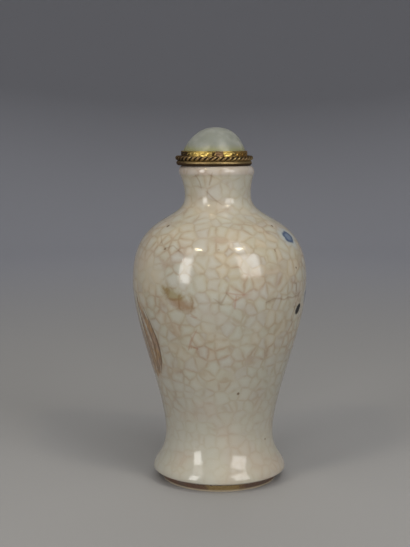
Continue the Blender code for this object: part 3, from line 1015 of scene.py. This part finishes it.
bark = Finish("cork")
where = bark.place()
body = bark.mix(bark.eased(bark.cloud(where, 0.8, detail=4.0), 0.35, 0.65), CORK_LIGHT, CORK_DARK)
body = bark.mix(bark.kept("pore") * 0.8, body, CORK_DARK)
bark.surface({
    "Base Color": body,
    "Roughness": 0.92,
    "Normal": bark.bump(bark.cloud(where, 0.4, detail=4.0) * 0.15),
})
cork.data.materials.append(bark.material)
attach(cork, "root")
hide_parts("stopper_cork")


# The studio: a pale round floor that curves up into a wall all round. On each side in front stand a
# soft window of light, a smaller one above it and a small warm lamp, and wide soft lights from the
# front, above and behind fill in the shade without a glint of their own.
STAGE_FLAT = 450
STAGE_CURVE = 350
STAGE_WALL = 900
STAGE_STEP = 12
STAGE_SIDES = 128
# How far from the bottle the floor's tone turns into the wall's, in mm
TONE_TURNS = (100, 460)
FLOOR_TONE = tone(160, 159, 158)
WALL_TONE = tone(160, 161, 168)
AIR_COLOR = (0.9, 0.93, 1.0, 1.0)
AIR_STRENGTH = 0.05
# The middle of the bottle, in metres, at which the lamps are aimed
LAMP_TARGET = Vector((0, 0, 0.045))

corner = arc(Vector((STAGE_FLAT, STAGE_CURVE)), STAGE_CURVE, STAGE_CURVE, -90, 0, STAGE_STEP)
wall_top = Vector((STAGE_FLAT + STAGE_CURVE, STAGE_WALL))
sweep = as_piece("studio_floor", turned([Vector((0, 0)), *corner, wall_top], STAGE_SIDES))
finish_shape(sweep, read(sweep, "co"))
sweep.data.flip_normals()
paper = Finish("studio_paper")
spread = paper.node("VectorMath", {"operation": "LENGTH"}, {0: paper.place()}, "Value")
paper_tone = paper.mix(paper.eased(spread, *TONE_TURNS), FLOOR_TONE, WALL_TONE)
paper.surface({"Base Color": paper_tone, "Roughness": 0.95})
sweep.data.materials.append(paper.material)


def lamp(name, azimuth, elevation, distance, size, radiance, color, glossy=True):
    """A soft rectangular light, aimed at the bottle's middle from a direction in degrees.

    Its radiance is the brightness of its face. It doesn't show to the camera itself, and only a
    glossy one shows in the glaze.
    """
    turned_by, raised_by = math.radians(azimuth), math.radians(elevation)
    way = Vector((math.sin(turned_by) * math.cos(raised_by), -math.cos(turned_by) * math.cos(raised_by),
                  math.sin(raised_by)))
    light = bpy.data.lights.new(name, "AREA")
    light.shape = "RECTANGLE"
    light.size, light.size_y = size
    light.energy = radiance * math.pi * size[0] * size[1]
    light.color = color
    lamp_object = bpy.data.objects.new(name, light)
    lamp_object.location = LAMP_TARGET + way * distance
    lamp_object.rotation_euler = way.to_track_quat("Z", "Y").to_euler()
    lamp_object.visible_camera = False
    lamp_object.visible_glossy = glossy
    bpy.context.scene.collection.objects.link(lamp_object)


lamp("window_left", -45, 14, 0.45, (0.12, 0.26), 5.5, (1.0, 0.98, 0.95))
lamp("window_left_top", -45, 40, 0.45, (0.12, 0.14), 1.6, (1.0, 0.98, 0.95))
lamp("window_right", 41, 22, 0.45, (0.22, 0.26), 3.9, (1.0, 0.98, 0.96))
lamp("window_right_top", 38, 55, 0.45, (0.12, 0.22), 2.2, (0.95, 0.98, 1.0))
lamp("front", 0, 32, 0.6, (0.3, 0.3), 2.8, (1.0, 1.0, 1.0), glossy=False)
lamp("ceiling", 0, 75, 0.6, (0.6, 0.5), 0.8, (1.0, 1.0, 1.0), glossy=False)
lamp("back_fill", 180, 35, 0.6, (0.6, 0.4), 0.9, (1.0, 1.0, 1.0), glossy=False)
lamp("warm_left", -36, 49, 0.45, (0.06, 0.012), 55.0, (1.0, 0.84, 0.55))
lamp("warm_right", 38, 51, 0.45, (0.06, 0.012), 55.0, (1.0, 0.84, 0.55))

world = bpy.data.worlds.new("studio_air")
world.use_nodes = True
world.node_tree.nodes["Background"].inputs["Color"].default_value = AIR_COLOR
world.node_tree.nodes["Background"].inputs["Strength"].default_value = AIR_STRENGTH
bpy.context.scene.world = world
bpy.context.scene.view_settings.view_transform = "Standard"


# The camera, where the photograph was taken from: close, level with the stopper's stone and looking
# slightly down.
CAMERA_PLACE = (0, -0.235, 0.0748)
CAMERA_DOWN = 7.304
CAMERA_LEFT = 0.768
CAMERA_LENS = 72.14

camera_data = bpy.data.cameras.new("camera")
camera_data.lens = CAMERA_LENS
camera_data.sensor_width = 36
camera_data.clip_start = 0.01
camera = bpy.data.objects.new("camera", camera_data)
camera.location = CAMERA_PLACE
camera.rotation_euler = (math.radians(90 - CAMERA_DOWN), 0, math.radians(CAMERA_LEFT))
bpy.context.scene.collection.objects.link(camera)
bpy.context.scene.camera = camera
